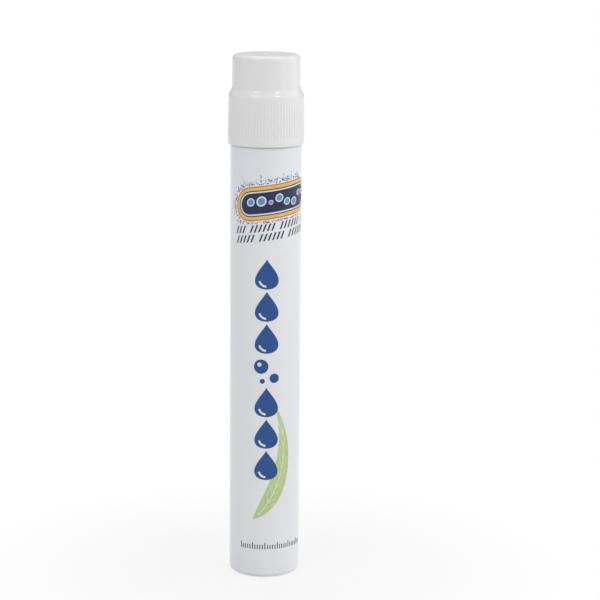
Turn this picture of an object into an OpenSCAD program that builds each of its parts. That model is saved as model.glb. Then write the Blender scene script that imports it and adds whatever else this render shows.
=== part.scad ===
// Pocket stain remover pen: a slim round bottle, a spring valve applicator and a screw cap.
// Z runs up the axis from the middle of the foot. All sizes are in millimetres.

/* [Bottle] */
// Outside diameter of the barrel
barrel_d = 17; // [15.5:0.1:22]
// Height from the foot to the top of the shoulder
barrel_h = 105.5; // [60:0.1:140]
// Wall of the barrel
barrel_wall = 1; // [0.6:0.05:1.4]
// Thickness of the floor above the foot's recess
floor_t = 1.2; // [0.8:0.1:3]
// Radius of the heel round the foot
heel_r = 1.3; // [0.4:0.1:1.8]
// Diameter of the shallow recess under the foot
foot_recess_d = 10.6; // [5:0.1:11.5]
// Depth of that recess
foot_recess_h = 0.5; // [0.2:0.1:1.2]
// Radius of the shoulder's outer edge
shoulder_r = 0.3; // [0.2:0.05:0.7]
// Thickness of the shoulder
shoulder_t = 1.3; // [1:0.1:3]

/* [Neck] */
// Height of the neck above the shoulder
neck_h = 8.5; // [7:0.1:12]
// Diameter of the neck at the root of its thread
neck_d = 13.2; // [12.6:0.1:13.6]
// Wall of the neck
neck_wall = 1.3; // [1:0.05:1.5]
// Height of the thread above its root
thread_h = 0.75; // [0.4:0.05:0.8]
// Height of the bead at the foot of the neck
bead_h = 0.8; // [0.4:0.1:1.2]
// Height of the bead above the shoulder
bead_rise = 0.6; // [0.4:0.1:1.5]

/* [Cap] */
// Gap between the shoulder and the skirt
cap_gap = 0.2; // [0.15:0.05:1]
// Wall of the skirt at its top
skirt_wall = 1.5; // [1.2:0.05:2.2]
// How far the skirt widens down to its rim, on the radius
skirt_flare = 0.12; // [0.02:0.01:0.3]
// Height of the plain band under the grip ribs
rim_band_h = 1.7; // [0.8:0.1:3]
// Lead-in chamfer inside the rim
rim_lead = 0.35; // [0.1:0.05:0.6]
// Number of grooves between the grip ribs
groove_n = 72; // [36:4:90]
// Radius of one groove
groove_r = 0.26; // [0.15:0.01:0.3]
// Depth of one groove
groove_depth = 0.17; // [0.08:0.01:0.25]
// Height of the sloping shoulder between skirt and crown
cap_slope_h = 2.8; // [2:0.1:4]
// Wall of the crown above the slope
crown_wall = 1.15; // [0.9:0.05:1.5]
// How far the crown widens down to the slope, on the radius
crown_flare = 0.1; // [0.02:0.01:0.2]
// Thickness of the cap's top
crown_top_t = 1.3; // [1.1:0.05:2]
// Radius of the cap's top edge
crown_edge_r = 1; // [0.4:0.05:1.1]
// Number of ribs inside the crown
crown_rib_n = 8; // [6:1:12]
// Width of one of those ribs
crown_rib_w = 0.9; // [0.6:0.1:1.4]
// How far those ribs stand in from the wall
crown_rib_depth = 1.3; // [1:0.05:1.6]
// Wall above the liner's seat
seat_wall = 1.1; // [0.8:0.1:2]
// Thickness of the liner ring
liner_t = 0.8; // [0.5:0.1:1.4]
// Wall of the seal cup
cup_wall = 0.8; // [0.5:0.05:1]
// Thickness of the seal cup's top
cup_top_t = 1; // [0.6:0.1:1.6]
// Free height above the nib inside the seal cup
nib_headroom = 1.1; // [0.6:0.1:3]

/* [Applicator] */
// Diameter of the nib
nib_d = 6; // [5.4:0.1:6.4]
// Height of the nib above its holder
nib_out = 4.7; // [3.6:0.1:6]
// Wall of the nib holder
holder_wall = 0.6; // [0.5:0.05:0.75]
// Length of the holder inside the collar
holder_in = 5.4; // [4:0.1:7]
// Thickness of the holder's floor
holder_floor_t = 1; // [0.8:0.1:1.5]
// Length of the holder's socket for the stem
socket_l = 2; // [1.5:0.1:3]
// Wall of that socket
socket_wall = 0.6; // [0.5:0.05:0.7]
// Diameter of one flow hole in the holder's floor
flow_hole_d = 0.9; // [0.6:0.1:1.1]
// Number of flow holes
flow_hole_n = 4; // [3:1:6]
// Travel of the nib when it is pressed
press_travel = 1.5; // [0.8:0.1:2]
// Wall of the collar round the holder
collar_wall = 1.05; // [0.8:0.05:1.2]
// Height of the collar above the flange
collar_h = 2.5; // [1.5:0.1:4]
// Thickness of the flange on the neck's rim
flange_t = 0.9; // [0.6:0.1:1.5]
// Length of the plug below the rim
plug_l = 16; // [13:0.5:24]
// Wall of the plug round the cage
plug_wall = 1.1; // [0.8:0.05:1.3]

/* [Valve] */
// Thickness of the web that carries the valve seat
web_t = 1; // [0.8:0.1:2]
// Height of the seat's lip
lip_h = 0.4; // [0.2:0.05:0.8]
// Wall of the seat's lip
lip_wall = 0.5; // [0.3:0.05:0.8]
// Diameter of the hole through the web
seat_hole_d = 4; // [3.6:0.1:4.4]
// Diameter of the stem
stem_d = 2.2; // [1.6:0.1:2.4]
// Thickness of the rubber seal
seal_t = 0.8; // [0.5:0.1:1.2]
// Thickness of the valve disc
disc_t = 1.2; // [0.8:0.1:1.4]
// Length of the cage's collar inside the plug
cage_in = 3; // [2.6:0.1:4.5]
// Length of the cage below the plug
cage_l = 10; // [9.5:0.5:14]
// Wall of the cage
cage_wall = 0.8; // [0.6:0.05:1]
// Thickness of the cage's floor
cage_floor_t = 1; // [0.8:0.1:2]
// Number of windows round the cage
window_n = 3; // [2:1:4]
// Width of one window
window_w = 3; // [1.5:0.1:3.4]
// Diameter of the wire of the spring
wire_d = 0.5; // [0.35:0.05:0.6]
// Number of free curls of the spring
curl_n = 6; // [4:1:7]
// Gap between an end curl of the spring and the next
end_gap = 0.45; // [0.42:0.01:0.8]
// Diameter of the pegs that centre the spring
peg_d = 3; // [2:0.1:3.2]
// Length of one of those pegs
peg_l = 1.6; // [0.8:0.1:2.4]

/* [Fits] */
// Clearance round a piece that slides in another
slide_gap = 0.05; // [0.02:0.01:0.1]
// Clearance round a thread's crest
thread_gap = 0.15; // [0.1:0.01:0.3]
// Clearance between valve disc and cage
flow_gap = 0.4; // [0.3:0.05:0.6]
// Clearance between the spring and what it goes round
spring_gap = 0.5; // [0.2:0.05:0.6]

/* [Hidden] */
$fn = 96;
eps = 0.01;

// Radii of the applicator, outwards from the nib
nib_r = nib_d / 2;
holder_r = nib_r + holder_wall;
chamber_r = holder_r + slide_gap;
collar_r = chamber_r + collar_wall;
cup_bore_r = collar_r + slide_gap;
cup_r = cup_bore_r + cup_wall;

// Radii of the bottle and of the cap
barrel_r = barrel_d / 2;
barrel_bore_r = barrel_r - barrel_wall;
neck_r = neck_d / 2;
neck_bore_r = neck_r - neck_wall;
thread_r = neck_r + thread_h;
cap_bore_r = thread_r + thread_gap;
skirt_top_r = cap_bore_r + skirt_wall;
skirt_rim_r = skirt_top_r + skirt_flare;
rib_inner_r = cup_r + slide_gap;
crown_bore_r = rib_inner_r + crown_rib_depth;
crown_r = crown_bore_r + crown_wall;
crown_low_r = crown_r + crown_flare;

// Radii of the valve
cage_r = neck_bore_r - plug_wall;
cage_bore_r = cage_r - cage_wall;
disc_r = cage_bore_r - flow_gap;
stem_r = stem_d / 2;
peg_r = peg_d / 2;
seat_hole_r = seat_hole_d / 2;
socket_r = stem_r + socket_wall;
curl_r = peg_r + spring_gap + wire_d / 2;

// Heights of the neck and of the applicator above it
rim_z = barrel_h + neck_h;
flange_z = rim_z + flange_t;
collar_z = flange_z + collar_h;
holder_z = collar_z + press_travel;
holder_floor_z = collar_z - holder_in;
nib_foot_z = holder_floor_z + holder_floor_t;
nib_z = holder_z + nib_out;

// Heights of the cap
skirt_z = barrel_h + cap_gap;
liner_z = flange_z + liner_t;
cup_ceiling_z = nib_z + nib_headroom;
ceiling_z = cup_ceiling_z + cup_top_t;
top_z = ceiling_z + crown_top_t;
slope_z = liner_z + seat_wall;
crown_z = slope_z + cap_slope_h;

// Heights of the valve
plug_z = rim_z - plug_l;
web_z = plug_z + cage_in;
seal_z = web_z - lip_h;
disc_top_z = seal_z - seal_t;
disc_z = disc_top_z - disc_t;
cage_z = plug_z - cage_l;
cage_floor_z = cage_z + cage_floor_t;
stem_z = holder_floor_z + holder_floor_t / 2;

// Sliver that rounds a corner at x, z off; dx and dz point from the corner into the profile
module corner_sliver(x, z, r, dx, dz) {
    difference() {
        translate([dx > 0 ? x - eps : x - r, dz > 0 ? z - eps : z - r])
            square(r + eps);
        translate([x + dx * r, z + dz * r])
            circle(r);
    }
}

module block(x0, x1, z0, z1) {
    translate([x0, z0])
        square([x1 - x0, z1 - z0]);
}

module tube(r0, r1, z0, z1) {
    rotate_extrude()
        block(r0, r1, z0, z1);
}

module bottle_outline() {
    difference() {
        block(0, barrel_r, 0, barrel_h);
        corner_sliver(barrel_r, 0, heel_r, -1, 1);
        corner_sliver(barrel_r, barrel_h, shoulder_r, -1, -1);
    }
    block(0, neck_r, barrel_h - eps, rim_z);
}

module neck_bead() {
    bead_z = barrel_h + bead_rise;
    difference() {
        block(neck_r - eps, thread_r, bead_z, bead_z + bead_h);
        corner_sliver(thread_r, bead_z + bead_h, bead_h / 2, -1, -1);
    }
}

module bottle_hollow() {
    hollow_z = foot_recess_h + floor_t;
    roof_z = barrel_h - shoulder_t;
    difference() {
        block(-eps, barrel_bore_r, hollow_z, roof_z);
        corner_sliver(barrel_bore_r, hollow_z, heel_r, -1, 1);
        corner_sliver(barrel_bore_r, roof_z, heel_r, -1, -1);
    }
    block(-eps, neck_bore_r, roof_z - eps, rim_z + eps);
}

module bottle() {
    color("whitesmoke")
        rotate_extrude()
            difference() {
                union() {
                    bottle_outline();
                    neck_bead();
                }
                bottle_hollow();
                block(-eps, foot_recess_d / 2, -eps, foot_recess_h);
            }
}

// Plug in the neck, with the valve seat's web inside it and the collar above it
module housing() {
    lead = plug_wall / 3;
    color("white")
        rotate_extrude() {
            block(chamber_r, neck_bore_r, web_z + web_t - eps, flange_z);
            difference() {
                block(cage_r, neck_bore_r, plug_z, web_z + web_t);
                translate([neck_bore_r, plug_z])
                    circle(lead, $fn = 4);
            }
            block(seat_hole_r, cage_r + eps, web_z, web_z + web_t);
            block(seat_hole_r, seat_hole_r + lip_wall, seal_z, web_z + eps);
            block(chamber_r, neck_r, rim_z, flange_z);
            difference() {
                block(chamber_r, collar_r, flange_z - eps, collar_z);
                corner_sliver(collar_r, collar_z, collar_wall / 3, -1, -1);
            }
        }
}

module spring_cage() {
    window_z = cage_floor_z + peg_l;
    window_h = plug_z - window_z - cage_floor_t;
    color("lightgray") {
        difference() {
            tube(cage_bore_r, cage_r, cage_z, web_z);
            for (i = [0:window_n - 1])
                rotate(i * 360 / window_n)
                    translate([0, -window_w / 2, window_z])
                        cube([cage_r + 1, window_w, window_h]);
        }
        difference() {
            union() {
                tube(0, cage_bore_r + eps, cage_z, cage_floor_z);
                tube(0, peg_r, cage_floor_z - eps, cage_floor_z + peg_l);
            }
            translate([0, 0, cage_z - 1])
                cylinder(r = peg_r / 2, h = cage_floor_t + peg_l + 2);
        }
    }
}

// The spring is one tube of six sides. Its curls open up between two closed end curls.
ring_sides = 6;
curl_rings = 8;
end_curls = 1;
spring_turns = curl_n + 2 * end_curls;
spring_rings = spring_turns * curl_rings;
spring_low = cage_floor_z + wire_d / 2;
spring_high = disc_z - wire_d / 2;
end_rise = wire_d + end_gap;
curl_pitch = (spring_high - spring_low - 2 * end_rise) / curl_n;

function spring_height(turn) =
    turn < end_curls ? spring_low + end_rise * turn / end_curls
    : turn > spring_turns - end_curls ? spring_high - end_rise * (spring_turns - turn) / end_curls
    : spring_low + end_rise + curl_pitch * (turn - end_curls);

function wire_point(ring, side) =
    let (turn = ring / curl_rings,
         around = 360 * side / ring_sides,
         r = curl_r + wire_d / 2 * cos(around))
    [r * cos(360 * turn), r * sin(360 * turn), spring_height(turn) + wire_d / 2 * sin(around)];

spring_points = [for (ring = [0:spring_rings], side = [0:ring_sides - 1]) wire_point(ring, side)];
spring_skin = [for (ring = [0:spring_rings - 1], side = [0:ring_sides - 1])
    let (a = ring * ring_sides + side,
         b = ring * ring_sides + (side + 1) % ring_sides)
    each [[a, b + ring_sides, b], [a, a + ring_sides, b + ring_sides]]];
spring_ends = [for (side = [1:ring_sides - 2])
    each [[0, side, side + 1],
          [spring_rings * ring_sides, spring_rings * ring_sides + side + 1,
           spring_rings * ring_sides + side]]];
echo(least_gap_between_curls = min(curl_pitch, end_rise) - wire_d);

module valve_spring() {
    color("silver")
        polyhedron(spring_points, concat(spring_skin, spring_ends));
}

module valve_stem() {
    color("white")
        rotate_extrude() {
            block(0, stem_r, disc_z, stem_z);
            block(0, disc_r, disc_z, disc_top_z);
            difference() {
                block(0, peg_r, disc_z - peg_l, disc_z + eps);
                corner_sliver(peg_r, disc_z - peg_l, peg_r / 4, -1, 1);
            }
        }
}

module valve_seal() {
    color("dimgray")
        tube(stem_r, min(disc_r, seat_hole_r + 2 * lip_wall), disc_top_z, seal_z);
}

module nib_holder() {
    hole_r = (socket_r + nib_r) / 2;
    color("white")
        difference() {
            rotate_extrude() {
                block(nib_r, holder_r, holder_floor_z, holder_z);
                block(0, holder_r, holder_floor_z, nib_foot_z);
                block(0, socket_r, holder_floor_z - socket_l, holder_floor_z + eps);
            }
            translate([0, 0, holder_floor_z - socket_l - 1])
                cylinder(r = stem_r, h = stem_z - holder_floor_z + socket_l + 1);
            for (i = [0:flow_hole_n - 1])
                rotate(i * 360 / flow_hole_n)
                    translate([hole_r, 0, holder_floor_z - 1])
                        cylinder(d = flow_hole_d, h = holder_floor_t + 2, $fn = 24);
        }
}

module nib() {
    color("ivory") {
        translate([0, 0, nib_foot_z])
            cylinder(r = nib_r, h = nib_z - nib_r - nib_foot_z);
        translate([0, 0, nib_z - nib_r])
            intersection() {
                sphere(nib_r);
                translate([-nib_d, -nib_d, -eps])
                    cube([2 * nib_d, 2 * nib_d, nib_d]);
            }
    }
}

// Thimble that closes over the nib and seats on the flange round the collar
module seal_cup() {
    color("gainsboro")
        rotate_extrude()
            difference() {
                block(0, cup_r, flange_z, ceiling_z);
                corner_sliver(cup_r, ceiling_z, cup_wall / 2, -1, -1);
                block(-eps, cup_bore_r, flange_z - eps, cup_ceiling_z);
            }
}

module cap_liner() {
    color("white")
        tube(rib_inner_r + slide_gap, cap_bore_r - slide_gap, flange_z, liner_z);
}

// The slope is two arcs that meet at its middle height, one hollow and one round
module cap_outline() {
    step = skirt_top_r - crown_low_r;
    arc_r = (cap_slope_h * cap_slope_h + step * step) / (4 * step);
    middle_r = (skirt_top_r + crown_low_r) / 2;
    middle_z = (slope_z + crown_z) / 2;
    difference() {
        polygon([[0, crown_z - eps], [crown_low_r, crown_z - eps], [crown_low_r, crown_z],
                 [crown_r, top_z], [0, top_z]]);
        corner_sliver(crown_r, top_z, crown_edge_r, -1, -1);
    }
    difference() {
        block(0, middle_r, middle_z, crown_z);
        translate([crown_low_r + arc_r, crown_z])
            circle(arc_r);
    }
    intersection() {
        block(0, skirt_top_r, slope_z, middle_z);
        union() {
            translate([skirt_top_r - arc_r, slope_z])
                circle(arc_r);
            block(0, skirt_top_r - arc_r, slope_z, middle_z);
        }
    }
    polygon([[0, skirt_z], [skirt_rim_r, skirt_z], [skirt_top_r, slope_z], [0, slope_z]]);
}

module cap_hollow() {
    polygon([[-eps, skirt_z - eps], [cap_bore_r + rim_lead, skirt_z - eps],
             [cap_bore_r, skirt_z + rim_lead], [cap_bore_r, liner_z], [-eps, liner_z]]);
    block(-eps, crown_bore_r, liner_z - eps, ceiling_z);
}

// Grooves between the grip ribs. They run out by themselves where the slope draws in.
module grip_grooves() {
    groove_z = skirt_z + rim_band_h;
    translate([0, 0, groove_z])
        linear_extrude(crown_z - groove_z)
            for (i = [0:groove_n - 1])
                rotate(i * 360 / groove_n)
                    translate([skirt_top_r + groove_r - groove_depth, 0])
                        circle(groove_r, $fn = 16);
}

// Ribs in the crown that guide the seal cup and press on the liner
module crown_ribs() {
    for (i = [0:crown_rib_n - 1])
        rotate(i * 360 / crown_rib_n)
            translate([rib_inner_r, -crown_rib_w / 2, liner_z])
                cube([crown_rib_depth + crown_wall / 2, crown_rib_w, ceiling_z - liner_z + eps]);
}

module cap_shell() {
    color("whitesmoke") {
        difference() {
            rotate_extrude()
                difference() {
                    cap_outline();
                    cap_hollow();
                }
            grip_grooves();
        }
        crown_ribs();
    }
}

bottle();
housing();
spring_cage();
valve_spring();
valve_stem();
valve_seal();
nib_holder();
nib();
seal_cup();
cap_liner();
cap_shell();
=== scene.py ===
import math
import random

import bmesh
import bpy
from mathutils import Matrix, Vector, geometry, noise


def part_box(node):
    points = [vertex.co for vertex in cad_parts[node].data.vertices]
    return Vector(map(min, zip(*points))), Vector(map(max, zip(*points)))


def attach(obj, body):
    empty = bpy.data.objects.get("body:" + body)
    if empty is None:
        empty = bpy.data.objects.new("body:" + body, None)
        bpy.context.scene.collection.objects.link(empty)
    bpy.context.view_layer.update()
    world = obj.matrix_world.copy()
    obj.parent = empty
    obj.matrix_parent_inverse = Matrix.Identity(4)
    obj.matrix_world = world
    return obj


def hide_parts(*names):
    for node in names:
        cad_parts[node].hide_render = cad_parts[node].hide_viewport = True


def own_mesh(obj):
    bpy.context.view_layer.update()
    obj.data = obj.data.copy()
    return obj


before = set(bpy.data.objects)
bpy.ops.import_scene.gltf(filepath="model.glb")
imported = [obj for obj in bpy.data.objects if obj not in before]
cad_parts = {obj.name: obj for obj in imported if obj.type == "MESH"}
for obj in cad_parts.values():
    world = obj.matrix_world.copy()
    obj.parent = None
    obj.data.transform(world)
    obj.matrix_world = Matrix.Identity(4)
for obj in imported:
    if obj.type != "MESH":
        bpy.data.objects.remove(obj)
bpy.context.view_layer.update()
mm = 0.001
fullTurn = 2 * math.pi
samePlace = 1e-8  # metres, well over a rounding error and far under the finest detail

# camera, matched to the vanishing points of the photograph; lengths in mm
camera = {
    "distance": 545.2,
    "height": 174.8,
    "side": 8.4,
    "pitch": 11.125,
    "roll": 0.45,
    "focalPixels": 2295,
    "framePixels": 600,
    "sensor": 36,
}


def makeCamera(c):
    data = bpy.data.cameras.new("camera")
    data.sensor_width = c["sensor"]
    data.lens = c["sensor"] * c["focalPixels"] / c["framePixels"]
    data.clip_start = 0.01
    data.clip_end = 50
    eye = bpy.data.objects.new("camera", data)
    bpy.context.scene.collection.objects.link(eye)
    place = Matrix.Translation(Vector((c["side"], -c["distance"], c["height"])) * mm)
    pitch = Matrix.Rotation(math.radians(90 - c["pitch"]), 4, "X")
    eye.matrix_world = place @ pitch @ Matrix.Rotation(math.radians(c["roll"]), 4, "Z")
    bpy.context.scene.camera = eye


makeCamera(camera)
print("camera ready")


# one output socket of a shader node; sums on it add Math nodes
class Wire:
    def __init__(self, paint, socket):
        self.paint = paint
        self.socket = socket

    def math(self, operation, *values):
        return self.paint.add("ShaderNodeMath", {"operation": operation}, dict(enumerate(values)))

    def __add__(self, other):
        return self.math("ADD", self, other)

    def __radd__(self, other):
        return self.math("ADD", other, self)

    def __sub__(self, other):
        return self.math("SUBTRACT", self, other)

    def __rsub__(self, other):
        return self.math("SUBTRACT", other, self)

    def __mul__(self, other):
        return self.math("MULTIPLY", self, other)

    def __rmul__(self, other):
        return self.math("MULTIPLY", other, self)


class Paint:
    def __init__(self, name, holder=None):
        self.holder = holder or bpy.data.materials.new(name)
        self.holder.use_nodes = True
        self.tree = self.holder.node_tree
        self.tree.nodes.clear()

    # adds a node by its type; settings are set first, then each socket's value or link
    def add(self, kind, settings=None, sockets=None, out=0):
        node = self.tree.nodes.new(kind)
        for key, value in (settings or {}).items():
            setattr(node, key, value)
        for key, value in (sockets or {}).items():
            if isinstance(value, Wire):
                self.tree.links.new(value.socket, node.inputs[key])
            else:
                node.inputs[key].default_value = value
        return Wire(self, node.outputs[out]) if node.outputs else None

    def place(self):
        return self.add("ShaderNodeTexCoord", out="Object")

    # soft noise whose grains are about size mm wide
    def grain(self, size, detail=2, stretch=(1, 1, 1)):
        spread = self.add("ShaderNodeMapping", {}, {"Vector": self.place(), "Scale": stretch})
        sockets = {"Vector": spread, "Scale": 1 / (size * mm), "Detail": detail}
        return self.add("ShaderNodeTexNoise", {}, sockets)

    def cells(self, size):
        sockets = {"Vector": self.place(), "Scale": 1 / (size * mm)}
        return self.add("ShaderNodeTexVoronoi", {"feature": "F1"}, sockets)

    def ramp(self, value, low, high):
        return self.add("ShaderNodeMapRange", {}, {"Value": value, "To Min": low, "To Max": high})

    def window(self, value, start, end):
        settings = {"interpolation_type": "SMOOTHSTEP"}
        sockets = {"Value": value, "From Min": start, "From Max": end}
        return self.add("ShaderNodeMapRange", settings, sockets)

    # a Mix node's colours are its inputs 6 and 7, and the mixed colour is its output 2
    def blend(self, share, one, other):
        sockets = {0: share, 6: (*one, 1), 7: (*other, 1)}
        return self.add("ShaderNodeMix", {"data_type": "RGBA"}, sockets, 2)

    def bump(self, height, depth):
        return self.add("ShaderNodeBump", {}, {"Height": height, "Distance": depth * mm})

    def surface(self, sockets):
        shader = self.add("ShaderNodeBsdfPrincipled", {}, sockets)
        self.add("ShaderNodeOutputMaterial", {}, {"Surface": shader})
        return self.holder


# plastics: clouding of the colour, a fine skin and a slow waviness of the moulded wall;
# skin, wave and relief are in mm, as all sizes of grain are
def plastic(name, pale, deep, gloss, skin=0.12, wave=5, specular=0.5, relief=0.02):
    paint = Paint(name)
    cloud = paint.grain(wave, 3, (1, 1, 0.4))
    fine = paint.grain(skin, 2)
    colour = paint.blend(paint.window(cloud, 0.3, 0.7), deep, pale)
    roughness = paint.ramp(cloud * 0.6 + fine * 0.4, *gloss)
    skinned = paint.bump(fine * 0.35 + cloud * 0.65, relief)
    sockets = {"Base Color": colour, "Roughness": roughness, "Normal": skinned}
    sockets["Specular IOR Level"] = specular
    return paint.surface(sockets)


def ink(name, colour, gloss=(0.28, 0.4), deepen=0.86, relief=0.004):
    paint = Paint(name)
    wash = paint.grain(1.6, 2)
    speck = paint.grain(0.09, 1)
    share = paint.window(wash * 0.5 + speck * 0.5, 0.25, 0.75)
    deep = [part * deepen for part in colour]
    sockets = {"Base Color": paint.blend(share, deep, colour)}
    sockets["Roughness"] = paint.ramp(wash, *gloss)
    sockets["Normal"] = paint.bump(speck, relief)
    return paint.surface(sockets)


def felt(name, pale, deep, gloss=(0.85, 1.0), sheen=0.3, relief=0.12):
    paint = Paint(name)
    tuft = paint.grain(0.35, 4)
    strand = paint.grain(0.12, 3, (1, 1, 0.25))
    colour = paint.blend(paint.window(tuft * 0.5 + strand * 0.5, 0.3, 0.65), deep, pale)
    sockets = {"Base Color": colour, "Roughness": paint.ramp(strand, *gloss)}
    sockets["Normal"] = paint.bump(strand * 0.6 + tuft * 0.4, relief)
    sockets["Sheen Weight"] = sheen
    return paint.surface(sockets)


def foam(name, pale, deep, gloss=(0.7, 0.9), relief=0.05):
    paint = Paint(name)
    cell = paint.cells(0.16)
    colour = paint.blend(paint.window(cell, 0.1, 0.7), deep, pale)
    sockets = {"Base Color": colour, "Roughness": paint.ramp(cell, *gloss)}
    sockets["Normal"] = paint.bump(cell, relief)
    return paint.surface(sockets)


def steel(name, pale, deep, gloss=(0.2, 0.38), relief=0.004):
    paint = Paint(name)
    draw = paint.grain(0.05, 2, (1, 1, 6))
    tint = paint.grain(1.2, 2)
    sockets = {"Base Color": paint.blend(paint.window(tint, 0.3, 0.7), deep, pale)}
    sockets["Roughness"] = paint.ramp(draw * 0.5 + tint * 0.5, *gloss)
    sockets["Normal"] = paint.bump(draw, relief)
    sockets["Metallic"] = 1
    return paint.surface(sockets)


finishes = {
    "bottle": plastic("bottleWhite", (0.86, 0.875, 0.9), (0.835, 0.85, 0.88), (0.18, 0.28)),
    "cap": plastic("capWhite", (0.86, 0.86, 0.86), (0.835, 0.833, 0.83), (0.13, 0.22), 0.15),
    "housing": plastic("housingWhite", (0.85, 0.85, 0.84), (0.8, 0.8, 0.785), (0.38, 0.52), 0.2, 3),
    "cage": plastic("cageWhite", (0.82, 0.82, 0.81), (0.77, 0.77, 0.755), (0.4, 0.55), 0.2, 2),
    "stem": plastic("stemWhite", (0.85, 0.85, 0.84), (0.8, 0.8, 0.79), (0.3, 0.42), 0.1, 2),
    "holder": plastic("holderWhite", (0.85, 0.85, 0.84), (0.8, 0.8, 0.79), (0.35, 0.5), 0.15, 2),
    "cup": plastic("cupWhite", (0.83, 0.84, 0.84), (0.76, 0.775, 0.78), (0.42, 0.6), 0.3, 4),
    "rubber": plastic("sealRubber", (0.17, 0.17, 0.18), (0.13, 0.13, 0.14), (0.6, 0.75), 0.08, 1, 0.3),
    "felt": felt("nibFelt", (0.87, 0.86, 0.81), (0.74, 0.72, 0.66)),
    "foam": foam("linerFoam", (0.85, 0.85, 0.84), (0.72, 0.72, 0.7)),
    "steel": steel("springSteel", (0.66, 0.66, 0.67), (0.52, 0.52, 0.53)),
    "navy": ink("inkNavy", (0.005, 0.014, 0.08)),
    "blue": ink("inkBlue", (0.006, 0.078, 0.3)),
    "sky": ink("inkSky", (0.12, 0.33, 0.62)),
    "yellow": ink("inkYellow", (0.9, 0.57, 0.12)),
    "orange": ink("inkOrange", (0.75, 0.13, 0.03)),
    "green": ink("inkGreen", (0.54, 0.71, 0.28)),
    "grey": ink("inkGrey", (0.07, 0.075, 0.09)),
    "white": ink("inkWhite", (0.85, 0.86, 0.88)),
}
print("materials ready")


# rounds the corners (radius, height, rounding) of a profile, in mm; a short straight beside each arc
# keeps the flats flat when the mesh is shaded smooth, and an arc has a point every few degrees
def rounded(corners, closed=False, degrees=12, beside=0.03):
    points = []
    last = len(corners) - 1
    for i, (radius, height, rounding) in enumerate(corners):
        here = Vector((radius, height))
        if rounding == 0 or (not closed and i in (0, last)):
            points.append(here)
            continue
        back = Vector(corners[i - 1][:2]) - here
        ahead = Vector(corners[(i + 1) % len(corners)][:2]) - here
        half = back.angle(ahead) / 2
        back.normalize()
        ahead.normalize()
        reach = rounding / math.tan(half)
        centre = here + (back + ahead).normalized() * rounding / math.sin(half)
        steps = max(2, round(math.degrees(math.pi - 2 * half) / degrees))
        points.append(here + back * (reach + beside))
        for k in range(steps + 1):
            arm = (here + back * reach - centre).slerp(here + ahead * reach - centre, k / steps)
            points.append(centre + arm * rounding)
        points.append(here + ahead * (reach + beside))
    return points


def makePiece(name, points, faces, finish, body, node=None, sharp=50):
    mesh = bpy.data.meshes.new(name)
    mesh.from_pydata([Vector(p) * mm for p in points], [], faces)
    joined = bmesh.new()
    joined.from_mesh(mesh)
    bmesh.ops.remove_doubles(joined, verts=joined.verts, dist=samePlace)
    bmesh.ops.recalc_face_normals(joined, faces=joined.faces)
    joined.to_mesh(mesh)
    joined.free()
    mesh.shade_smooth()
    mesh.set_sharp_from_angle(angle=math.radians(sharp))
    mesh.materials.append(finishes[finish])
    piece = bpy.data.objects.new(name, mesh)
    bpy.context.scene.collection.objects.link(piece)
    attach(piece, body)
    if node:
        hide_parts(node)
    return piece


# turns a profile about the pen's axis; bend may change a point's radius by its column
def turn(profile, columns, closed=False, bend=None):
    points = []
    faces = []
    rows = []
    for radius, height in profile:
        first = len(points)
        if radius == 0:
            points.append((0, 0, height))
            rows.append([first] * columns)
            continue
        for k in range(columns):
            angle = fullTurn * k / columns
            reach = bend(radius, height, k) if bend else radius
            points.append((reach * math.cos(angle), reach * math.sin(angle), height))
        rows.append(list(range(first, first + columns)))
    for low, high in zip(rows, rows[1:] + (rows[:1] if closed else [])):
        for k in range(columns):
            after = (k + 1) % columns
            corners = (low[k], low[after], high[after], high[k])
            faces.append(tuple(dict.fromkeys(corners)))
    return points, faces


def circle(u, v, radius, sides=24):
    turns = [fullTurn * k / sides for k in range(sides)]
    return [(u + radius * math.cos(a), v + radius * math.sin(a)) for a in turns]


# a tube along a path of (centre, side, up, size) places, its section in (side, up)
def sweep(places, section):
    points = []
    faces = []
    sides = len(section)
    for centre, side, up, size in places:
        points += [centre + side * a * size + up * b * size for a, b in section]
    for i in range(len(places) - 1):
        for k in range(sides):
            a = i * sides + k
            b = i * sides + (k + 1) % sides
            faces.append((a, b, b + sides, a + sides))
    faces.append(tuple(range(sides)))
    faces.append(tuple(range(len(points) - sides, len(points))))
    return points, faces


# both threads, in mm
threadLead = 3.175  # eight to the inch
threadForm = {
    "ringsPerTurn": 60,
    "sink": 0.12,  # into the wall it stands on
    "edge": 0.1,  # the eased corners of the crest
    "wider": 0.05,
    "narrower": 0.08,
    "start": 0.06,  # share of its size at the very ends
}


# sweeps a screw thread, whose depth is negative where it stands inwards
def helix(t):
    f = threadForm
    steps = round(t["turns"] * f["ringsPerTurn"])
    run = t["turns"] * fullTurn
    fade = math.radians(t["fade"])
    up = Vector((0, 0, 1))
    places = []
    for i in range(steps + 1):
        angle = run * i / steps
        end = min(1, min(angle, run - angle) / fade)
        size = min(1, f["start"] + math.sin(end * math.pi / 2))
        out = Vector((math.cos(angle + t["start"]), math.sin(angle + t["start"]), 0))
        height = t["height"] + threadLead * angle / fullTurn
        places.append((out * t["root"] + up * height, out, up, size))
    sink = -math.copysign(f["sink"], t["depth"])
    soft = t["depth"] - math.copysign(f["edge"], t["depth"])
    foot = t["width"] / 2
    wide = t["crest"] / 2 + f["wider"]
    narrow = t["crest"] / 2 - f["narrower"]
    section = [
        (sink, -foot), (0, -foot), (soft, -wide), (t["depth"], -narrow),
        (t["depth"], narrow), (soft, wide), (0, foot), (sink, foot),
    ]
    return sweep(places, section)


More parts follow.
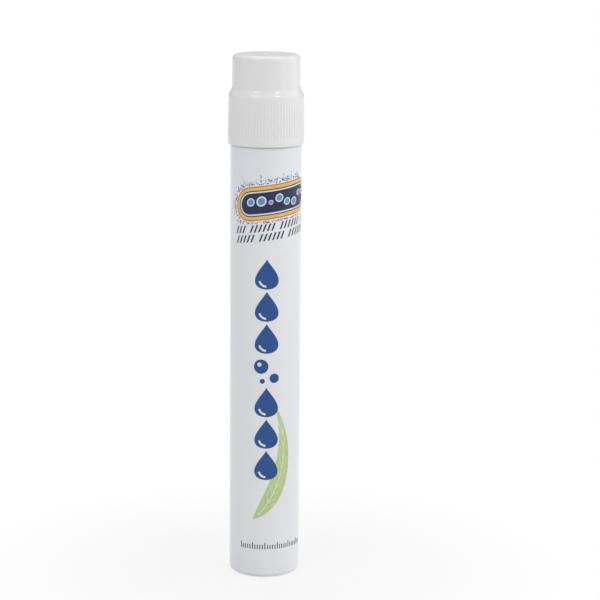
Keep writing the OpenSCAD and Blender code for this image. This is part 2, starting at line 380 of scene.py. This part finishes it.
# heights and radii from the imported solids, in mm
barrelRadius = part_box("bottle")[1].x / mm
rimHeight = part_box("bottle")[1].z / mm
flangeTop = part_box("seal_cup")[0].z / mm
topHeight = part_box("cap_shell")[1].z / mm
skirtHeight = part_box("cap_shell")[0].z / mm
skirtRadius = -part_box("cap_shell")[0].x / mm

bottle = {
    "columns": 192,
    "wall": 1.0,
    "heel": 1.3,
    "recessRadius": 5.3,
    "recessDepth": 0.5,
    "floor": 1.2,
    "gateRadius": 0.55,
    "gateHeight": 0.14,
    "shoulderGap": 0.13,
    "shoulderEdge": 0.3,
    "shoulderThickness": 1.3,
    "neckRadius": 6.6,
    "neckWall": 1.3,
    "beadRise": 0.6,
    "beadHeight": 0.8,
}
neckThread = {
    "root": bottle["neckRadius"],
    "depth": 0.75,
    "height": 108.2,
    "start": 0.4,
    "turns": 1.5,
    "width": 1.5,
    "crest": 0.8,
    "fade": 32,
}


def makeBottle(b, t):
    shoulder = skirtHeight - b["shoulderGap"]
    neck = b["neckRadius"]
    bore = neck - b["neckWall"]
    inside = barrelRadius - b["wall"]
    bead = shoulder + b["beadRise"]
    crest = neck + t["depth"]
    ceiling = shoulder - b["shoulderThickness"]
    floorTop = b["recessDepth"] + b["floor"]
    gate = b["recessDepth"] - b["gateHeight"]
    corners = [
        (0, gate, 0), (b["gateRadius"], gate, 0.05), (b["gateRadius"] + 0.08, b["recessDepth"], 0.04),
        (b["recessRadius"], b["recessDepth"], 0.2), (b["recessRadius"], 0, 0.12),
        (barrelRadius, 0, b["heel"]), (barrelRadius, shoulder, b["shoulderEdge"]),
        (neck, shoulder, 0.25), (neck, bead, 0.05), (crest, bead, 0.1),
        (crest, bead + b["beadHeight"], 0.35), (neck, bead + b["beadHeight"], 0.1),
        (neck, rimHeight, 0.25), (bore, rimHeight, 0.15), (bore, ceiling, 0.3),
        (inside, ceiling, b["heel"]), (inside, floorTop, b["heel"]), (0, floorTop, 0),
    ]
    points, faces = turn(rounded(corners, degrees=9), b["columns"])
    makePiece("bottleBody", points, faces, "bottle", "bottle", "bottle")
    points, faces = helix(t)
    makePiece("neckThread", points, faces, "bottle", "bottle")


makeBottle(bottle, neckThread)
print("bottle ready")

cap = {
    "ribs": 72,
    "columnsPerRib": 8,
    "grooveRadius": 0.26,
    "grooveDepth": 0.1,
    "grooveRise": 0.5,
    "grooveFade": 6.5,
    "fadeAbove": 1.1,
    "startRows": (8, -0.05, 0.09),  # count, first above the grooves' foot, step
    "ribRows": (8, 0.9, 1.0),
    "bandHeight": 1.7,
    "flare": 0.12,
    "skirtEdge": 0.18,
    "bore": 7.5,
    "leadIn": 0.35,
    "linerTop": 115.7,
    "seatWall": 1.1,
    "slopeHeight": 2.8,
    "arcSteps": 8,
    "crownRadius": 8.05,
    "crownFlare": 0.1,
    "topEdge": 1.0,
    "gateRadius": 0.6,
    "gateDepth": 0.06,
    "crownBore": 6.9,
    "ribInner": 5.6,
    "innerRibs": 8,
    "innerRibWidth": 0.9,
    "seatEdge": 0.3,
    "ceiling": 125.7,
}
capThreadFoot = 107.8
capThread = {
    "root": cap["bore"],
    "depth": -0.72,
    "height": capThreadFoot,
    # half a turn on from the neck's thread, so that the cap's runs midway between its turns
    "start": neckThread["start"] + fullTurn * ((capThreadFoot - neckThread["height"]) / threadLead + 0.5),
    "turns": 1.25,
    "width": 1.3,
    "crest": 0.6,
    "fade": 28,
}


def makeCap(c, t):
    columns = c["ribs"] * c["columnsPerRib"]
    top = skirtRadius - c["flare"]
    slope = c["linerTop"] + c["seatWall"]
    crown = slope + c["slopeHeight"]
    low = c["crownRadius"] + c["crownFlare"]
    step = top - low
    arcRadius = (c["slopeHeight"] ** 2 + step ** 2) / (4 * step)
    arcAngle = math.asin(c["slopeHeight"] / 2 / arcRadius)
    grooveFoot = skirtHeight + c["bandHeight"]
    outside = rounded([
        (c["bore"] + c["leadIn"], skirtHeight, 0),
        (skirtRadius, skirtHeight, c["skirtEdge"]),
        (top, slope, 0),
    ])[:-1]
    for count, first, rowStep in (c["startRows"], c["ribRows"]):
        for k in range(count):
            height = grooveFoot + first + rowStep * k
            share = (height - skirtHeight) / (slope - skirtHeight)
            outside.append(Vector((skirtRadius - c["flare"] * share, height)))
    steps = c["arcSteps"]
    bends = [arcAngle * k / steps for k in range(steps + 1)]
    arc = [(arcRadius * math.cos(bend), arcRadius * math.sin(bend)) for bend in bends]
    outside += [Vector((top - arcRadius + across, slope + rise)) for across, rise in arc]
    outside += [Vector((low + arcRadius - across, crown - rise)) for across, rise in arc[-2::-1]]
    above = rounded([
        (low, crown, 0), (c["crownRadius"], topHeight, c["topEdge"]),
        (c["gateRadius"] + 0.1, topHeight, 0.08), (c["gateRadius"], topHeight - c["gateDepth"], 0.04),
        (0, topHeight - c["gateDepth"], 0),
    ], degrees=9)
    outside += above[1:]
    inside = rounded([
        (0, c["ceiling"], 0), (c["crownBore"], c["ceiling"], 0.3), (c["crownBore"], c["linerTop"], 0.12),
        (c["bore"], c["linerTop"], 0.1), (c["bore"], skirtHeight + c["leadIn"], 0.1),
        (c["bore"] + c["leadIn"], skirtHeight, 0),
    ])
    half = math.pi * top / c["ribs"]

    def groove(height, column):
        place = abs(column % c["columnsPerRib"] / c["columnsPerRib"] - 0.5) * 2 * half
        lift = c["grooveRadius"] - c["grooveDepth"]
        deep = math.sqrt(max(0, c["grooveRadius"] ** 2 - place ** 2)) - lift
        rise = min(1, max(0, (height - grooveFoot) / c["grooveRise"]))
        fall = min(1, max(0, (slope + c["fadeAbove"] - height) / c["grooveFade"]))
        return max(0, deep) * math.sin(rise * math.pi / 2) * fall * fall * (3 - 2 * fall)

    def skirtShape(radius, height, column):
        return radius - groove(height, column) if radius > low else radius

    def crownShape(radius, height, column):
        share = column * c["innerRibs"] / columns % 1
        across = min(share, 1 - share) / c["innerRibs"] * fullTurn * c["ribInner"]
        onRib = across < c["innerRibWidth"] / 2
        inCrown = height > c["linerTop"] - 0.01 and radius < c["bore"] - c["seatEdge"]
        return min(radius, c["ribInner"]) if onRib and inCrown else radius

    points, faces = turn(outside, columns, bend=skirtShape)
    innerPoints, innerFaces = turn(inside[:-1], columns, bend=crownShape)
    shift = len(points)
    points += innerPoints
    faces += [tuple(index + shift for index in face) for face in innerFaces]
    lastRow = len(points) - columns
    for k in range(columns):
        after = (k + 1) % columns
        faces.append((k, after, lastRow + after, lastRow + k))
    makePiece("capShell", points, faces, "cap", "cap", "cap_shell", sharp=42)
    points, faces = helix(t)
    makePiece("capThread", points, faces, "cap", "cap")


makeCap(cap, capThread)
print("cap ready")

# inner pieces turned from a profile, each corner (radius, height, rounding) in mm
housing = {
    "collar": 4.7,
    "chamber": 3.65,
    "top": 117.4,
    "web": 102.0,
    "hole": 2.0,
    "lip": 2.5,
    "lipFoot": 100.6,
    "webFoot": 101.0,
    "cage": 4.2,
    "plug": 98.0,
    "columns": 128,
}
sealCup = {"outside": 5.55, "bore": 4.75, "ceiling": 124.7, "top": 125.7, "columns": 128}
capLiner = {"inside": 5.65, "outside": 7.45, "columns": 128}


def makeTurnedPieces(h, s, n):
    neck = bottle["neckRadius"]
    bore = neck - bottle["neckWall"]
    corners = [
        (h["collar"], h["top"], 0.32), (h["chamber"], h["top"], 0.15), (h["chamber"], h["web"], 0.1),
        (h["hole"], h["web"], 0.08), (h["hole"], h["lipFoot"], 0.08), (h["lip"], h["lipFoot"], 0.12),
        (h["lip"], h["webFoot"], 0.08), (h["cage"], h["webFoot"], 0.1), (h["cage"], h["plug"], 0.12),
        (bore, h["plug"], 0.35), (bore, rimHeight, 0.05), (neck, rimHeight, 0.08),
        (neck, flangeTop, 0.2), (h["collar"], flangeTop, 0.15),
    ]
    points, faces = turn(rounded(corners, closed=True), h["columns"], closed=True)
    makePiece("plugHousing", points, faces, "housing", "bottle", "housing")
    corners = [
        (0, s["top"], 0), (s["outside"], s["top"], 0.4), (s["outside"], flangeTop, 0.12),
        (s["bore"], flangeTop, 0.12), (s["bore"], s["ceiling"], 0.35), (0, s["ceiling"], 0),
    ]
    points, faces = turn(rounded(corners), s["columns"])
    makePiece("sealCup", points, faces, "cup", "cap_seal", "seal_cup")
    linerTop = cap["linerTop"]
    corners = [
        (n["inside"], flangeTop, 0.08), (n["outside"], flangeTop, 0.08),
        (n["outside"], linerTop, 0.08), (n["inside"], linerTop, 0.08),
    ]
    points, faces = turn(rounded(corners, closed=True), n["columns"], closed=True)
    makePiece("capLiner", points, faces, "foam", "cap_ring", "cap_liner")


makeTurnedPieces(housing, sealCup, capLiner)

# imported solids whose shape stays, and the finish of each
keptNodes = {"spring_cage": "cage", "valve_stem": "stem", "valve_seal": "rubber", "nib_holder": "holder"}
for node, finish in keptNodes.items():
    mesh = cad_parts[node].data
    mesh.materials.clear()
    mesh.materials.append(finishes[finish])
print("inner pieces ready")

spring = {
    "foot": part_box("valve_spring")[0].z / mm,
    "top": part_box("valve_spring")[1].z / mm,
    "radius": 2.25,
    "wire": 0.25,
    "freeCurls": 6,
    "endCurls": 2,
    "endRise": 0.95,
    "ringsPerCurl": 40,
    "sides": 10,
    "pressed": 1.5,
}


def makeSpring(s):
    low = s["foot"] + s["wire"]
    high = s["top"] - s["wire"]
    pitch = (high - low - s["endCurls"] * s["endRise"]) / s["freeCurls"]
    curls = s["freeCurls"] + s["endCurls"]
    up = Vector((0, 0, 1))
    places = []
    for i in range(curls * s["ringsPerCurl"] + 1):
        curl = i / s["ringsPerCurl"]
        if curl < 1:
            height = low + s["endRise"] * curl
        elif curl > curls - 1:
            height = high - s["endRise"] * (curls - curl)
        else:
            height = low + s["endRise"] + pitch * (curl - 1)
        out = Vector((math.cos(fullTurn * curl), math.sin(fullTurn * curl), 0))
        places.append((out * s["radius"] + up * height, out, up, 1))
    points, faces = sweep(places, circle(0, 0, s["wire"], s["sides"]))
    piece = makePiece("valveSpring", points, faces, "steel", "bottle", "valve_spring")
    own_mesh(piece)


makeSpring(spring)

nib = {
    "radius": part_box("nib")[1].x / mm,
    "foot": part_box("nib")[0].z / mm,
    "top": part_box("nib")[1].z / mm,
    "holderRim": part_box("nib_holder")[1].z / mm,
    "columns": 96,
    "wallRows": 12,
    "domeRows": 24,
    "bareRim": 0.05,  # felt beside the holder that keeps its shape
    "dent": 0.07,
    "dentWaves": (1.3, 4.5),
    "dentSwing": 0.35,
    "seed": 11,
    "fibres": 700,
    "lowestFibre": 0.03,
    "fibreRadius": 0.012,
    "fibreLength": (0.35, 0.9),
    "fibreCurl": 0.4,
    "fibreLift": (-0.01, 0.05),
    "fibreRings": 5,
    "fibreSides": 3,
}


# a point on the domed nib, at a share of the climb up its felt, and the way out of the felt there
def nibPlace(n, angle, climb):
    rise = n["top"] - n["radius"] - n["holderRim"]
    along = climb * (rise + n["radius"] * math.pi / 2)
    tilt = max(0, along - rise) / n["radius"]
    out = Vector((math.cos(angle) * math.cos(tilt), math.sin(angle) * math.cos(tilt), math.sin(tilt)))
    centre = Vector((0, 0, n["holderRim"] + min(along, rise)))
    return centre + out * n["radius"], out


def makeFelt(n):
    radius = n["radius"]
    rim = n["holderRim"]
    dome = n["top"] - radius
    corners = [Vector((0, n["foot"])), Vector((radius, n["foot"])), Vector((radius, rim))]
    for k in range(1, n["wallRows"] + 1):
        corners.append(Vector((radius, rim + (dome - rim) * k / n["wallRows"])))
    for k in range(1, n["domeRows"] + 1):
        tilt = math.pi / 2 * k / n["domeRows"]
        corners.append(Vector((radius * math.cos(tilt), dome + radius * math.sin(tilt))))
    corners[-1].x = 0
    points, faces = turn(corners, n["columns"])
    slow, quick = n["dentWaves"]
    felted = []
    for point in points:
        place = Vector(point)
        if place.z > rim + n["bareRim"]:
            out = (place - Vector((0, 0, min(place.z, dome)))).normalized()
            swing = noise.noise(place * slow) + noise.noise(place * quick)
            place -= out * n["dent"] * min(1, max(0, 0.5 + n["dentSwing"] * swing))
        felted.append(place)
    makePiece("feltNib", felted, faces, "felt", "applicator", "nib")


def makeFibres(n):
    rings = n["fibreRings"]
    sides = n["fibreSides"]
    points = []
    faces = []
    draw = random.Random(n["seed"])
    for _ in range(n["fibres"]):
        centre, out = nibPlace(n, draw.uniform(0, fullTurn), draw.uniform(n["lowestFibre"], 1))
        side = out.orthogonal()
        side.rotate(Matrix.Rotation(draw.uniform(0, fullTurn), 3, out))
        across = out.cross(side)
        length = draw.uniform(*n["fibreLength"])
        curl = draw.uniform(-n["fibreCurl"], n["fibreCurl"])
        lift = draw.uniform(*n["fibreLift"])
        first = len(points)
        for k in range(rings):
            share = k / (rings - 1) - 0.5
            drift = side * share * length + across * curl * length * share * share
            sag = out * (lift - n["dent"] - share * share * length * length / n["radius"] / 2)
            for c in range(sides):
                spin = fullTurn * c / sides
                ring = out * math.cos(spin) + across * math.sin(spin)
                points.append(centre + drift + sag + ring * n["fibreRadius"])
        for k in range(rings - 1):
            for c in range(sides):
                a = first + k * sides + c
                b = first + k * sides + (c + 1) % sides
                faces.append((a, b, b + sides, a + sides))
        last = first + (rings - 1) * sides
        faces.append(tuple(range(first, first + sides)))
        faces.append(tuple(range(last, last + sides)))
    makePiece("nibFibres", points, faces, "felt", "applicator")


makeFelt(nib)
makeFibres(nib)
print("applicator ready")

# print on the barrel: outlines in mm, u round the barrel from the front and v up it
printing = {"cut": 0.35, "slack": 0.000001, "sunk": 0.01, "film": 0.014}


# cuts flat outlines into narrow strips, lays them round the barrel and gives them the ink's thickness
def wrapInk(name, outlines, finish, layer):
    p = printing
    flat = bmesh.new()
    for outline in outlines:
        flat.faces.new([flat.verts.new((u, v, 0)) for u, v in outline])
    low = min(vert.co.x for vert in flat.verts)
    high = max(vert.co.x for vert in flat.verts)
    for k in range(math.floor(low / p["cut"]) + 1, math.ceil(high / p["cut"])):
        everything = flat.verts[:] + flat.edges[:] + flat.faces[:]
        cut = {"plane_co": (k * p["cut"], 0, 0), "plane_no": (1, 0, 0), "dist": p["slack"]}
        bmesh.ops.bisect_plane(flat, geom=everything, **cut)
    bmesh.ops.triangulate(flat, faces=flat.faces)
    flat.normal_update()
    lifted = bmesh.ops.extrude_face_region(flat, geom=flat.faces[:])["geom"]
    tops = {part for part in lifted if isinstance(part, bmesh.types.BMVert)}
    for vert in flat.verts:
        angle = vert.co.x / barrelRadius
        reach = barrelRadius + (p["film"] * layer if vert in tops else -p["sunk"])
        vert.co = (reach * math.sin(angle), -reach * math.cos(angle), vert.co.y)
    points = [tuple(vert.co) for vert in flat.verts]
    flat.verts.index_update()
    # sorted, because the extrusion leaves its faces in another order each run
    faces = sorted([vert.index for vert in face.verts] for face in flat.faces)
    flat.free()
    makePiece(name, points, faces, finish, "bottle")


def slanted(outline, slope):
    return [(u, v + slope * u) for u, v in outline]


def pill(left, right, v, radius, steps=16):
    ends = [math.pi * k / steps for k in range(steps + 1)]
    outline = [(right - radius + radius * math.sin(a), v - radius * math.cos(a)) for a in ends]
    return outline + [(left + radius - radius * math.sin(a), v + radius * math.cos(a)) for a in ends]


def drop(u, v, across, up, taper=1.5, steps=40):
    outline = []
    for k in range(steps):
        a = fullTurn * k / steps
        squeeze = math.sin(a / 2) ** taper
        outline.append((u - across / 2 * math.sin(a) * squeeze, v + up / 2 * math.cos(a)))
    return outline


def curve(controls, steps):
    ends = [Vector(point) for point in controls]
    return [tuple(point)[:2] for point in geometry.interpolate_bezier(*ends, steps)]


badge = {
    "left": -7.7,
    "right": 14.0,
    "height": 92.6,
    "slope": 0.13,
    "radii": {"orange": 4.1, "yellow": 3.85, "navy": 3.1, "white": 2.85},
    "core": 2.5,
    "seed": 5,
    "bubblesFrom": 1.6,
    "bubblesTo": 1.4,
    "bubbleSize": (0.55, 1.25),
    "bubbleDrift": (-0.9, 0.9),
    "bubbleGap": (0.15, 0.5),
    "bubbleCentre": 0.72,
    "specks": 480,
    "endSpeck": 3,  # every third speck is at the left end
    "speckSize": (0.07, 0.17),
    "speckSides": 8,
    "clear": 0.25,
    "spread": 0.75,
    "under": 0.8,
}


def printBadge(b):
    outer = b["radii"]["orange"]
    for layer, (colour, radius) in enumerate(b["radii"].items(), 1):
        inset = outer - radius
        shape = pill(b["left"] + inset, b["right"] - inset, b["height"], radius)
        wrapInk("badge-" + colour, [slanted(shape, b["slope"])], colour, layer)
    inset = outer - b["core"]
    shape = pill(b["left"] + inset, b["right"] - inset, b["height"], b["core"])
    wrapInk("badge-core", [slanted(shape, b["slope"])], "navy", 5)
    draw = random.Random(b["seed"])
    bubbles = []
    centres = []
    u = b["left"] + inset + b["bubblesFrom"]
    while u < b["right"] - inset - b["bubblesTo"]:
        size = draw.uniform(*b["bubbleSize"])
        v = b["height"] + draw.uniform(*b["bubbleDrift"])
        bubbles.append(slanted(circle(u + size, v, size), b["slope"]))
        centres.append(slanted(circle(u + size, v, size * b["bubbleCentre"]), b["slope"]))
        u += 2 * size + draw.uniform(*b["bubbleGap"])
    wrapInk("badge-bubbles", bubbles, "white", 6)
    wrapInk("badge-bubbleCentres", centres, "sky", 7)
    specks = {"blue": [], "sky": []}
    middle = (b["left"] + b["right"]) / 2
    run = (b["right"] - b["left"]) / 2 - outer
    for k in range(b["specks"]):
        angle = draw.uniform(0, fullTurn)
        away = outer + b["clear"] + abs(draw.gauss(0, b["spread"]))
        side = math.sin(angle)
        if k % b["endSpeck"] == 0:
            u = b["left"] + outer - away * abs(math.cos(angle))
        else:
            u = middle + run * draw.uniform(-1, 1)
            side = math.copysign(1, side)
        v = b["height"] + away * side
        size = draw.uniform(*b["speckSize"])
        colour = draw.choice(("blue", "sky"))
        if v > b["height"] - outer - b["under"]:
            specks[colour].append(slanted(circle(u, v, size, b["speckSides"]), b["slope"]))
    for colour, outlines in specks.items():
        wrapInk("badge-specks-" + colour, outlines, colour, 1)


stitches = {
    "rows": (86.6, 84.3),
    "left": -8.0,
    "right": 12.2,
    "step": 1.05,
    "height": 1.75,
    "stroke": 0.42,
    "lean": 0.4,
    "rowShift": 0.2,
    "gapEvery": 7,
    "firstGap": 3,
    "gapShift": 2,  # from row to row, in stitches
}


def printStitches(s):
    strokes = []
    lean = s["height"] * s["lean"]
    for row, middle in enumerate(s["rows"]):
        low = middle - s["height"] / 2
        high = middle + s["height"] / 2
        for k in range(int((s["right"] - s["left"]) / s["step"])):
            if k % s["gapEvery"] == s["firstGap"] + s["gapShift"] * row:
                continue
            left = s["left"] + k * s["step"] + row * s["rowShift"]
            right = left + s["stroke"]
            stroke = [(left, low), (right, low), (right + lean, high), (left + lean, high)]
            strokes.append(slanted(stroke, badge["slope"]))
    wrapInk("stitches", strokes, "navy", 1)


# drops one above the other; in the middle place stand bubbles (aside, up, radius, sides), and each drop
# has a light on it, an arc round a hub under its middle
column = {
    "centre": 0.5,
    "width": 8.2,
    "low": 24.8,
    "high": 79.0,
    "places": 7,
    "gap": 0.55,
    "bubbles": ((-1.3, 1.0, 1.75, 32), (1.9, -1.9, 1.15, 28), (-1.0, -2.6, 0.6, 20)),
    "bubbleLight": (-1.7, 1.5, 0.5, 18),
    "lightHub": 0.16,
    "lightRadii": (2.05, 1.55),
    "lightFrom": 195,
    "lightSweep": 70,
    "lightSteps": 12,
}


def printColumn(c):
    height = (c["high"] - c["low"] + c["gap"]) / c["places"] - c["gap"]
    steps = c["lightSteps"]
    arc = [math.radians(c["lightFrom"] + c["lightSweep"] * k / steps) for k in range(steps + 1)]
    wide, narrow = c["lightRadii"]
    centre = c["centre"]
    blues = []
    lights = []
    for place in range(c["places"]):
        v = c["low"] + height / 2 + place * (height + c["gap"])
        if place == c["places"] // 2:
            for aside, up, radius, sides in c["bubbles"]:
                blues.append(circle(centre + aside, v + up, radius, sides))
            aside, up, radius, sides = c["bubbleLight"]
            lights.append(circle(centre + aside, v + up, radius, sides))
            continue
        blues.append(drop(centre, v, c["width"], height))
        hub = v - height * c["lightHub"]
        outer = [(centre + wide * math.cos(a), hub + wide * math.sin(a)) for a in arc]
        inner = [(centre + narrow * math.cos(a), hub + narrow * math.sin(a)) for a in reversed(arc)]
        lights.append(outer + inner)
    wrapInk("column-drops", blues, "blue", 3)
    wrapInk("column-lights", lights, "white", 4)


leaf = {
    "outer": ((-2.7, 14.8, 0), (5.6, 17.0, 0), (10.3, 31.0, 0), (2.4, 43.7, 0)),
    "inner": ((-2.7, 14.8, 0), (-0.6, 21.5, 0), (6.7, 30.5, 0), (2.4, 43.7, 0)),
    "steps": 40,
    "rib": (3, 36),
    "ribHalf": 0.16,
    "veins": 9,
    "veinFrom": 6,
    "veinStep": 3,
    "veinAhead": 5,
    "veinReach": 0.82,
    "veinHalf": 0.07,
    "veinTip": 0.4,
}


def printLeaf(f):
    steps = f["steps"]
    outer = curve(f["outer"], steps)
    inner = curve(f["inner"], steps)
    wrapInk("leaf-blade", [outer + inner[-2:0:-1]], "green", 1)
    middle = [((a[0] + b[0]) / 2, (a[1] + b[1]) / 2) for a, b in zip(outer, inner)]
    first, last = f["rib"]
    rib = [(u, v, f["ribHalf"] * (1 - k / steps)) for k, (u, v) in enumerate(middle[first:last])]
    lines = [[(u - half, v) for u, v, half in rib] + [(u + half, v) for u, v, half in reversed(rib)]]
    for k in range(f["veins"]):
        at = f["veinFrom"] + f["veinStep"] * k
        for edge in (outer, inner):
            root = Vector(middle[at])
            tip = root.lerp(Vector(edge[at + f["veinAhead"]]), f["veinReach"])
            wide = (tip - root).orthogonal().normalized() * f["veinHalf"]
            thin = wide * f["veinTip"]
            lines.append([tuple(point) for point in (root + wide, root - wide, tip - thin, tip + thin)])
    wrapInk("leaf-veins", lines, "white", 2)


scale = {
    "left": -6.0,
    "right": 11.8,
    "foot": 7.3,
    "long": 1.65,
    "short": 1.1,
    "step": 0.62,
    "longEvery": 5,
    "stroke": 0.25,
}


def printScale(s):
    low = s["foot"]
    ticks = []
    for k in range(int((s["right"] - s["left"]) / s["step"]) + 1):
        left = s["left"] + k * s["step"]
        right = left + s["stroke"]
        high = low + (s["long"] if k % s["longEvery"] == 0 else s["short"])
        ticks.append([(left, low), (right, low), (right, high), (left, high)])
    wrapInk("fillScale", ticks, "grey", 1)


printBadge(badge)
printStitches(stitches)
printColumn(column)
printLeaf(leaf)
printScale(scale)
print("print ready")

studio = {
    "floorSize": 3.0,
    "floorBelow": 0.00002,
    "floorColour": (0.75, 0.75, 0.75),
    "shadowShare": 0.2,
    "whiteFrom": 0.022,
    "whiteTo": 0.085,
    "ambient": (0.545, 0.545, 0.545),
    "aim": (0, 0, 0.07),
    # azimuth from the front towards the right, height angle, distance, width, height, power
    "lamps": {
        "panel": (88, 14, 0.7, 1.0, 0.8, 1.85),
        "spark": (42, 40, 0.8, 0.05, 0.05, 0.7),
        "key": (-36, 38, 0.8, 0.3, 0.2, 0.66),
        "left": (-75, 8, 0.9, 0.5, 0.7, 0.3),
        "top": (0, 88, 0.7, 0.6, 0.6, 0.84),
        "back": (185, 52, 0.9, 0.5, 0.3, 0.75),
    },
}


def makeLamps(s):
    for name, (azimuth, rise, distance, width, height, power) in s["lamps"].items():
        data = bpy.data.lights.new(name, "AREA")
        data.shape = "RECTANGLE"
        data.size = width
        data.size_y = height
        data.energy = power
        lamp = bpy.data.objects.new(name, data)
        bpy.context.scene.collection.objects.link(lamp)
        side = math.radians(azimuth)
        up = math.radians(rise)
        away = Vector((math.sin(side) * math.cos(up), -math.cos(side) * math.cos(up), math.sin(up)))
        lamp.location = Vector(s["aim"]) + away * distance
        lamp.rotation_euler = away.to_track_quat("Z", "Y").to_euler()


# an even pale light all round, and white where the camera looks past the floor
def makeWorld(s):
    world = bpy.data.worlds.new("studio")
    bpy.context.scene.world = world
    sky = Paint("studio", world)
    path = sky.add("ShaderNodeLightPath", out="Is Camera Ray")
    around = sky.add("ShaderNodeBackground", {}, {"Color": (*s["ambient"], 1)})
    white = sky.add("ShaderNodeBackground", {}, {"Color": (1, 1, 1, 1)})
    mixed = sky.add("ShaderNodeMixShader", {}, {0: path, 1: around, 2: white})
    sky.add("ShaderNodeOutputWorld", {}, {"Surface": mixed})


# paper that keeps a share of the pen's shadow near the foot and is plain white further out
def makeFloor(s):
    half = s["floorSize"] / 2
    corners = [(-half, -half), (half, -half), (half, half), (-half, half)]
    mesh = bpy.data.meshes.new("floor")
    mesh.from_pydata([(x, y, -s["floorBelow"]) for x, y in corners], [], [(0, 1, 2, 3)])
    floor = bpy.data.objects.new("floor", mesh)
    bpy.context.scene.collection.objects.link(floor)
    paint = Paint("floorPaper")
    direct = paint.add("ShaderNodeLightPath", out="Is Camera Ray")
    glossy = paint.add("ShaderNodeLightPath", out="Is Glossy Ray")
    through = paint.add("ShaderNodeLightPath", out="Is Transmission Ray")
    seen = direct.math("MAXIMUM", direct, glossy.math("MAXIMUM", glossy, through))
    reach = paint.add("ShaderNodeVectorMath", {"operation": "LENGTH"}, {0: paint.place()}, "Value")
    far = paint.window(reach, s["whiteFrom"], s["whiteTo"])
    share = seen * (1 - (1 - far) * s["shadowShare"])
    paper = paint.add("ShaderNodeBsdfDiffuse", {}, {"Color": (*s["floorColour"], 1)})
    glow = paint.add("ShaderNodeEmission", {}, {"Color": (1, 1, 1, 1), "Strength": 1})
    both = paint.add("ShaderNodeMixShader", {}, {0: share, 1: paper, 2: glow})
    paint.add("ShaderNodeOutputMaterial", {}, {"Surface": both})
    mesh.materials.append(paint.holder)


makeLamps(studio)
makeWorld(studio)
makeFloor(studio)
bpy.context.scene.view_settings.view_transform = "Standard"
print("studio ready")
